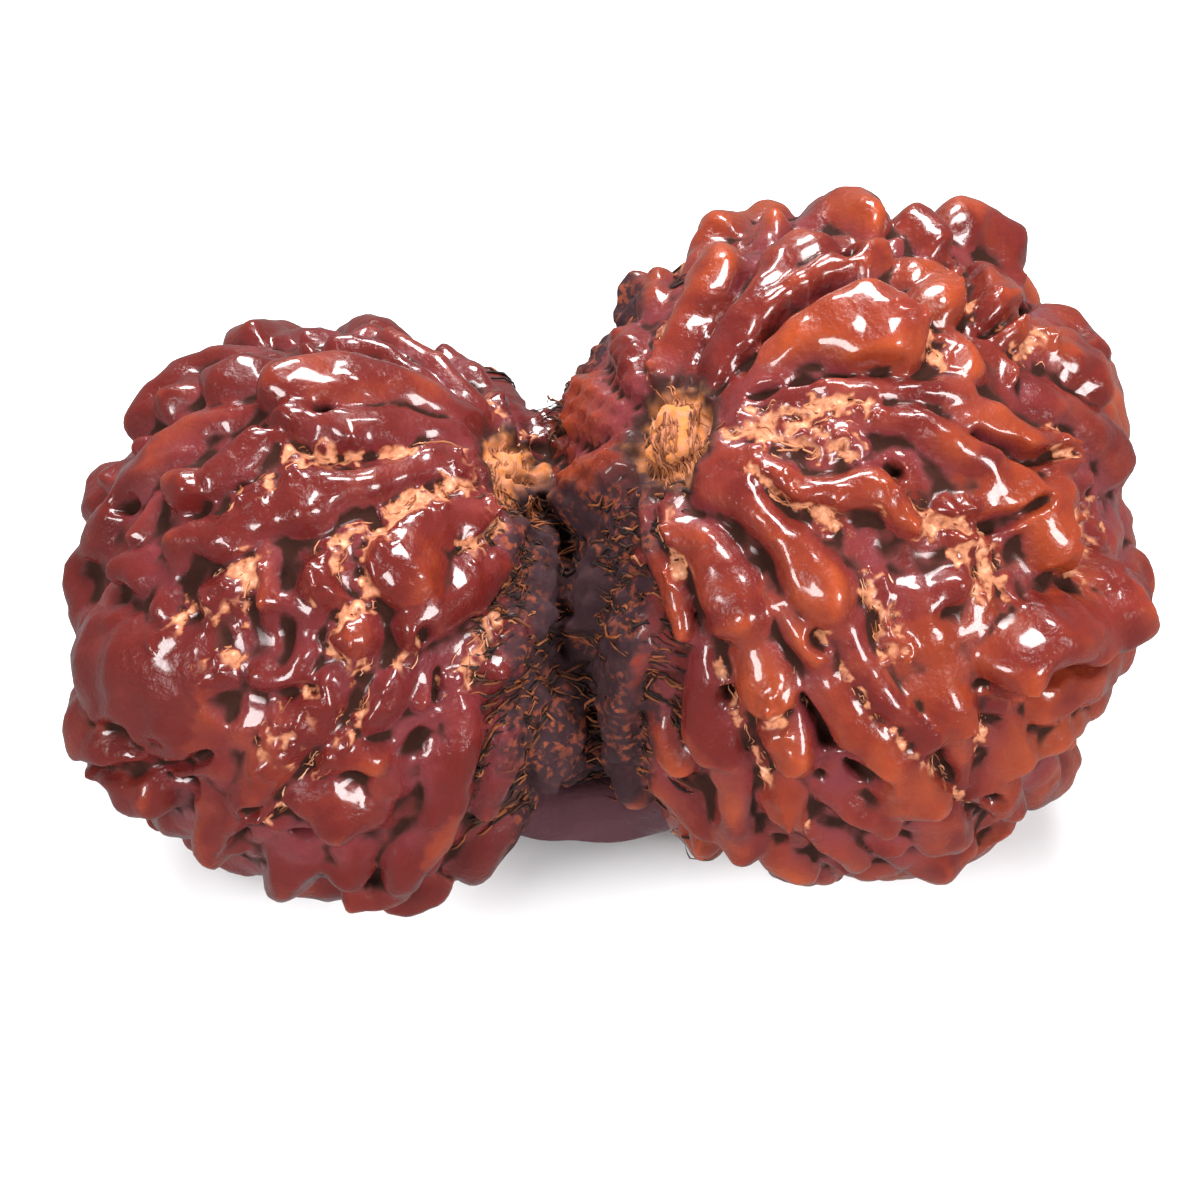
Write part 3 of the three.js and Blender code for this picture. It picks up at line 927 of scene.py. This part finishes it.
def jointStrands(draw, settings):
    # coarse fibres that run across the joint from bead to bead, dark with some orange-brown ones
    middle, size = np.array(neck["centre"]), np.array(neck["body"])
    strands = []
    for _ in range(settings["count"]):
        turn = draw(0, 2 * math.pi)
        x = draw(-0.95, 0.95)
        reach = draw(*settings["long"]) / size[0] / 2
        lean = draw(-0.04, 0.04)
        wide = 1 + draw(0, 0.45) * abs(x)
        ends = []
        for k in (-1, 1):
            ring = np.array((math.sin(turn + k * lean), math.cos(turn + k * lean))) * wide
            ends.append(middle + np.array((x + k * reach, *ring)) * size)
        heart = (ends[0] + ends[1]) / 2
        fromBar = np.linalg.norm((heart - np.array(bridge["centre"])) / np.array(bridge["body"]))
        if fromBar < settings["clearOfBar"] or isBareSkin(heart):
            continue
        orange = draw(0, 1) < settings["orangeSmallSide" if x < 0 else "orangeLargeSide"]
        shade = draw(*settings["orangeShade" if orange else "darkShade"])
        girth, height = draw(*settings["girth"]), draw(*settings["height"])
        strands.append((*ends, girth, height, shade, draw(*settings["bow"])))
    return strands


def faceStrands(bead, draw, settings):
    # the same fibres up the bead's own face, beside the joint
    toward = -np.sign(bead["centre"][0])
    strands = []
    for _ in range(settings["faceStrands"]):
        turn = draw(0, 2 * math.pi)
        lean = math.radians(draw(*settings["faceRing"]))
        ends = []
        for k in (0, draw(*settings["faceReach"])):
            ring = math.sin(lean + k)
            spot = (toward * math.cos(lean + k), ring * math.sin(turn), ring * math.cos(turn))
            ends.append(onBead(bead, np.array(spot)))
        if isBareSkin((ends[0] + ends[1]) / 2):
            continue
        orange = draw(0, 1) < settings["faceOrange"]
        shade = draw(*settings["faceShade" if orange else "darkShade"])
        girth, height = draw(*settings["girth"]), draw(*settings["faceHeight"])
        strands.append((*ends, girth, height, shade, draw(*settings["faceBow"])))
    return strands


def tuftStrands(draw, settings):
    # the hairy tuft on the saddle between the beads
    strands = []
    for _ in range(settings["tuftStrands"]):
        start = np.array((draw(-1.9, -0.4), draw(2.0, 4.5), 15.5))
        end = start + np.array((draw(-0.9, 0.9), draw(-0.6, 0.9), 0))
        girth, height = draw(*settings["tuftGirth"]), draw(*settings["tuftHeight"])
        strands.append((start, end, girth, height, draw(*settings["tuftShade"]), draw(*settings["tuftBow"])))
    return strands


def neckStrands():
    settings = {
        "seed": 461,
        "count": 2000,
        "long": (0.5, 1.7),
        "girth": (0.025, 0.08),
        "height": (0.0, 0.12),
        "bow": (-0.08, 0.08),
        "clearOfBar": 1.35,  # how far from the bar's middle, in its half sizes
        "orangeSmallSide": 0.55,  # share of the strands that are orange-brown
        "orangeLargeSide": 0.22,
        "orangeShade": (0.3, 0.5),
        "darkShade": (0.0, 0.24),
        "faceStrands": 1400,
        "faceRing": (30, 55),  # degrees from the way to the other bead
        "faceReach": (0.03, 0.13),
        "faceOrange": 0.25,
        "faceShade": (0.28, 0.5),
        "faceHeight": (0.0, 0.1),
        "faceBow": (-0.15, 0.15),
        "tuftStrands": 90,
        "tuftGirth": (0.03, 0.06),
        "tuftHeight": (0.1, 0.5),
        "tuftShade": (0.05, 0.35),
        "tuftBow": (-0.3, 0.3),
    }
    draw = makeDraw(settings["seed"])
    strands = jointStrands(draw, settings)
    for bead in (smallBead, largeBead):
        strands += faceStrands(bead, draw, settings)
    return strands + tuftStrands(draw, settings)


# Materials

def addNode(tree, kind, **values):
    node = tree.nodes.new(kind)
    for name, value in values.items():
        setattr(node, name, value)
    return node


def newMaterial(name):
    material = bpy.data.materials.new(name)
    material.use_nodes = True
    tree = material.node_tree
    return material, tree, tree.nodes["Principled BSDF"]


def makeGrainGroup():
    # fine wrinkles and a slow mottle, used on husk and fibre alike
    group = bpy.data.node_groups.new("seedGrain", "ShaderNodeTree")
    inside = addNode(group, "NodeGroupInput")
    out = addNode(group, "NodeGroupOutput")
    place = addNode(group, "ShaderNodeTexCoord")
    for scaleName, scale, detail, result in (
        ("Fine Scale", 3000, 4, "Wrinkle"),
        ("Mottle Scale", 400, 3, "Mottle"),
    ):
        scaleSocket = group.interface.new_socket(scaleName, in_out="INPUT", socket_type="NodeSocketFloat")
        scaleSocket.default_value = scale
        group.interface.new_socket(result, in_out="OUTPUT", socket_type="NodeSocketFloat")
        noise = addNode(group, "ShaderNodeTexNoise")
        noise.inputs["Detail"].default_value = detail
        group.links.new(place.outputs["Object"], noise.inputs["Vector"])
        group.links.new(inside.outputs[scaleName], noise.inputs["Scale"])
        group.links.new(noise.outputs["Fac"], out.inputs[result])
    return group


def placeGrain(tree, grain, fineScale, mottleScale):
    node = addNode(tree, "ShaderNodeGroup", node_tree=grain)
    node.inputs["Fine Scale"].default_value = fineScale
    node.inputs["Mottle Scale"].default_value = mottleScale
    return node.outputs["Wrinkle"], node.outputs["Mottle"]


def readMask(tree, name):
    node = addNode(tree, "ShaderNodeAttribute", attribute_name=name)
    return node.outputs["Fac"]


def ramp(tree, source, low, high):
    # 0 at low and 1 at high, also where low is over high
    node = addNode(tree, "ShaderNodeMapRange", interpolation_type="SMOOTHSTEP")
    node.inputs["From Min"].default_value = low
    node.inputs["From Max"].default_value = high
    tree.links.new(source, node.inputs["Value"])
    return node.outputs["Result"]


def fillSocket(tree, socket, value):
    if isinstance(value, tuple):
        socket.default_value = (*value, 1)
    elif isinstance(value, (int, float)):
        socket.default_value = value
    else:
        tree.links.new(value, socket)


def mix(tree, amount, first, second, kind="RGBA"):
    node = addNode(tree, "ShaderNodeMix", data_type=kind)
    tree.links.new(amount, node.inputs["Factor"])
    fillSocket(tree, node.inputs["A"], first)
    fillSocket(tree, node.inputs["B"], second)
    return node.outputs["Result"]


def maths(tree, operation, first, second):
    node = addNode(tree, "ShaderNodeMath", operation=operation)
    fillSocket(tree, node.inputs[0], first)
    fillSocket(tree, node.inputs[1], second)
    return node.outputs["Value"]


huskLook = {
    "maroon": (0.098, 0.010, 0.008),
    "redBrown": (0.165, 0.018, 0.012),
    "amber": (0.205, 0.030, 0.009),
    # orange: the skin's own orange with a painted glow of light through thin raised tips
    "orange": (0.36, 0.058, 0.012),
    "mauve": (0.14, 0.021, 0.025),
    # furrow colour: dark fibre in the furrows together with painted crease shade
    "furrowShade": (0.026, 0.007, 0.004),
    "tanBrown": (0.20, 0.055, 0.024),
    "tan": (0.48, 0.19, 0.10),
    "paleTan": (0.78, 0.43, 0.27),
    "scarTan": (0.50, 0.17, 0.045),
    "scarRim": (0.034, 0.013, 0.011),
    # neck colour: the neck's own dark fibre, also laid as painted shade over the recess between the beads
    "neckDarkAndShade": (0.032, 0.014, 0.017),
    "neckFlake": (0.19, 0.045, 0.022),
    "barRed": (0.085, 0.033, 0.042),
}

# Where each colour comes in: the mask's value where there is none of it, and where it is full.
huskRange = {
    "redBrown": (0.35, 0.9),
    "flankHeight": (2.3, 1.1),
    "flankPatch": (0.45, 0.85),
    "orange": (0.9, 1.9),
    "webHeight": (1.2, 0.35),
    "webPatch": (0.32, 0.6),
    "furrowShade": (0.08, 0.36),
    "low": (-0.11, 0.02),
    "torn": (0.45, 0.65),
    "tan": (0.55, 0.95),
    "paleTan": (0.95, 1.4),
    "plugGrain": (0.42, 0.62),
    "chip": (0.48, 0.64),
    "chipPatch": (0.42, 0.6),
    "matt": (0.4, 0.7),
}

huskFinish = {
    "grain": (3300, 420),
    "gloss": 0.2,
    "matt": 0.4,
    "dry": 0.85,
    "coat": 0.6,
    "coatRoughness": 0.1,
    "specular": 0.14,
    "subsurface": 0.14,
    "subsurfaceRadius": (1.0, 0.3, 0.1),
    "subsurfaceScale": 0.0006,
    "bumpStrength": 0.75,
    "bumpHeight": 0.0001,
}


def makeHuskMaterial(grain):
    material, tree, shader = newMaterial("huskGloss")
    wrinkle, mottle = placeGrain(tree, grain, *huskFinish["grain"])
    hollow, crease = readMask(tree, "hollow"), readMask(tree, "crease")
    lift, tone = readMask(tree, "lift"), readMask(tree, "tone")

    def come(source, name):
        return ramp(tree, source, *huskRange[name])

    def both(first, second):
        return maths(tree, "MULTIPLY", first, second)

    # polished skin: each ridge in a tone of its own, amber flanks, and orange on what stands out, partly the
    # skin's own tone and partly a painted glow of light through thin tips
    patchy = maths(tree, "ADD", both(tone, 0.3), mottle)
    base = mix(tree, come(patchy, "redBrown"), huskLook["maroon"], huskLook["redBrown"])
    flank = both(come(lift, "flankHeight"), come(patchy, "flankPatch"))
    base = mix(tree, flank, base, huskLook["amber"])
    toneAndTipGlow = maths(tree, "ADD", both(hollow, -1.5), patchy)
    base = mix(tree, come(toneAndTipGlow, "orange"), base, huskLook["orange"])
    web = both(come(lift, "webHeight"), come(mottle, "webPatch"))
    base = mix(tree, web, base, huskLook["mauve"])
    # darker in hollows and creases: partly the dark fibre in the furrows, partly painted shade where the
    # creases fall into shadow
    deep = come(maths(tree, "ADD", hollow, both(crease, 2.4)), "furrowShade")
    base = mix(tree, deep, base, huskLook["furrowShade"])

    # torn tan fibre left in the furrows
    uneven = both(maths(tree, "SUBTRACT", wrinkle, 0.5), 1.6)
    torn = maths(tree, "ADD", readMask(tree, "streak"), uneven)
    streak = both(come(torn, "torn"), come(hollow, "low"))
    fibre = mix(tree, come(torn, "tan"), huskLook["tanBrown"], huskLook["tan"])
    fibre = mix(tree, come(torn, "paleTan"), fibre, huskLook["paleTan"])
    base = mix(tree, streak, base, fibre)

    # the stalk scars, the joint (its dark fibre, with painted shade over the recess between the beads) and
    # the bar under it
    scar, scarRim = readMask(tree, "scar"), readMask(tree, "scarRim")
    base = mix(tree, scarRim, base, huskLook["scarRim"])
    plug = mix(tree, come(wrinkle, "plugGrain"), huskLook["scarTan"], huskLook["tan"])
    base = mix(tree, scar, base, plug)
    chips = both(come(wrinkle, "chip"), come(mottle, "chipPatch"))
    flakes = mix(tree, chips, huskLook["neckDarkAndShade"], huskLook["neckFlake"])
    # dark neck fibre, with painted shade in the recess between the beads
    dark = readMask(tree, "neckDarkAndShade")
    base = mix(tree, dark, base, flakes)
    base = mix(tree, readMask(tree, "bar"), base, huskLook["barRed"])
    tree.links.new(base, shader.inputs["Base Color"])

    dry = streak
    for mask in (scar, dark, deep, scarRim):
        dry = maths(tree, "MAXIMUM", dry, mask)
    skin = mix(tree, come(mottle, "matt"), huskFinish["gloss"], huskFinish["matt"], "FLOAT")
    rough = mix(tree, dry, skin, huskFinish["dry"], "FLOAT")
    tree.links.new(rough, shader.inputs["Roughness"])
    coat = mix(tree, dry, huskFinish["coat"], 0.0, "FLOAT")
    tree.links.new(coat, shader.inputs["Coat Weight"])
    shader.inputs["Coat Roughness"].default_value = huskFinish["coatRoughness"]
    shader.inputs["Specular IOR Level"].default_value = huskFinish["specular"]
    shader.inputs["Subsurface Weight"].default_value = huskFinish["subsurface"]
    shader.inputs["Subsurface Radius"].default_value = huskFinish["subsurfaceRadius"]
    shader.inputs["Subsurface Scale"].default_value = huskFinish["subsurfaceScale"]
    bump = addNode(tree, "ShaderNodeBump")
    bump.inputs["Strength"].default_value = huskFinish["bumpStrength"]
    bump.inputs["Distance"].default_value = huskFinish["bumpHeight"]
    tree.links.new(wrinkle, bump.inputs["Height"])
    tree.links.new(bump.outputs["Normal"], shader.inputs["Normal"])
    print("husk material made")
    return material


fibreLook = {
    "dark": (0.018, 0.008, 0.007),
    "brown": (0.22, 0.06, 0.018),
    "tan": (0.50, 0.20, 0.10),
    "pale": (0.78, 0.44, 0.28),
    "steps": ((0.1, 0.4), (0.4, 0.7), (0.7, 1.0)),  # where brown, tan and pale come in
    "grain": (4000, 900),
    "roughness": 0.75,
    "specular": 0.3,
}


def makeFibreMaterial(grain):
    # each strand has a shade of its own, from dark at 0 to pale at 1
    material, tree, shader = newMaterial("dryFibre")
    _, mottle = placeGrain(tree, grain, *fibreLook["grain"])
    patch = maths(tree, "MULTIPLY", maths(tree, "SUBTRACT", mottle, 0.5), 0.5)
    uneven = maths(tree, "ADD", readMask(tree, "shade"), patch)
    base = fibreLook["dark"]
    for step, name in zip(fibreLook["steps"], ("brown", "tan", "pale")):
        base = mix(tree, ramp(tree, uneven, *step), base, fibreLook[name])
    tree.links.new(base, shader.inputs["Base Color"])
    shader.inputs["Roughness"].default_value = fibreLook["roughness"]
    shader.inputs["Specular IOR Level"].default_value = fibreLook["specular"]
    print("fibre material made")
    return material


# Stage, light and camera

def makeCamera():
    tilt = math.radians(view["elevation"])
    back = Vector((0, -math.cos(tilt), math.sin(tilt)))
    place = (Vector(view["target"]) + back * view["distance"]) * millimetre
    data = bpy.data.cameras.new("viewCamera")
    data.lens = view["lens"]
    data.sensor_width = view["sensor"]
    data.clip_start = 0.01
    camera = bpy.data.objects.new("viewCamera", data)
    camera.location = place
    camera.rotation_euler = back.to_track_quat("Z", "Y").to_euler()
    bpy.context.scene.collection.objects.link(camera)
    bpy.context.scene.camera = camera
    print("camera placed")


def makeLight(name, place, size, power):
    data = bpy.data.lights.new(name, "AREA")
    data.shape = "DISK"
    data.size = size
    data.energy = power
    light = bpy.data.objects.new(name, data)
    light.location = place
    aim = Vector(view["target"]) * millimetre - Vector(place)
    light.rotation_euler = aim.to_track_quat("-Z", "Y").to_euler()
    bpy.context.scene.collection.objects.link(light)


studio = {
    "floorSize": 3.0,
    "floorColour": (0.85, 0.85, 0.86),
    "floorRoughness": 0.6,
    "sky": 0.18,
    "sheen": 0.3,  # the sky as it shows in gloss
    "backdrop": 0.95,  # the sky as the camera sees it
    # each light: place and size in metres, and power
    "lights": {
        "keyLight": ((0.05, 0.16, 0.38), 0.15, 2.2),
        "backLight": ((-0.05, 0.34, 0.22), 0.13, 1.8),
        "rightLight": ((0.24, -0.20, 0.24), 0.15, 1.7),
        "leftLight": ((-0.24, -0.20, 0.26), 0.15, 1.5),
    },
}


def makeFloor():
    bm = bmesh.new()
    bmesh.ops.create_grid(bm, x_segments=1, y_segments=1, size=studio["floorSize"] / 2)
    mesh = bpy.data.meshes.new("paleFloor")
    bm.to_mesh(mesh)
    bm.free()
    floor = bpy.data.objects.new("paleFloor", mesh)
    bpy.context.scene.collection.objects.link(floor)
    material, _, shader = newMaterial("paleFloor")
    shader.inputs["Base Color"].default_value = (*studio["floorColour"], 1)
    shader.inputs["Roughness"].default_value = studio["floorRoughness"]
    mesh.materials.append(material)
    floor.visible_glossy = False  # leaves the sky's even sheen on the seed's underside


def makeSky():
    world = bpy.data.worlds.new("softSky")
    world.use_nodes = True
    tree = world.node_tree
    sky = tree.nodes["Background"]
    sky.inputs["Color"].default_value = (1, 1, 1, 1)
    rays = addNode(tree, "ShaderNodeLightPath").outputs
    sheen = mix(tree, rays["Is Glossy Ray"], studio["sky"], studio["sheen"], "FLOAT")
    strength = mix(tree, rays["Is Camera Ray"], sheen, studio["backdrop"], "FLOAT")
    tree.links.new(strength, sky.inputs["Strength"])
    bpy.context.scene.world = world


def makeStudio():
    makeFloor()
    makeSky()
    for name, (place, size, power) in studio["lights"].items():
        makeLight(name, place, size, power)
    bpy.context.scene.view_settings.view_transform = "Standard"
    print("studio built")


makeCamera()
makeStudio()
grainGroup = makeGrainGroup()
huskGloss = makeHuskMaterial(grainGroup)
dryFibre = makeFibreMaterial(grainGroup)
seedHusk = makeHusk()
paintHusk(seedHusk)
furrowFibres = growStrands("furrowFibres", furrowStrands(), seedHusk)
neckFibres = growStrands("neckFibres", neckStrands(), seedHusk, 4)
for piece, material, slotName in (
    (seedHusk, huskGloss, "husk"),
    (furrowFibres, dryFibre, "fibre"),
    (neckFibres, dryFibre, "fibre"),
):
    piece.data.materials.clear()
    piece.data.materials.append(material)
    piece.data.transform(Matrix.Scale(millimetre, 4))
    piece.data.shade_smooth()
    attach(piece, "root")
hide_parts("twin_seed")
print("pieces finished")
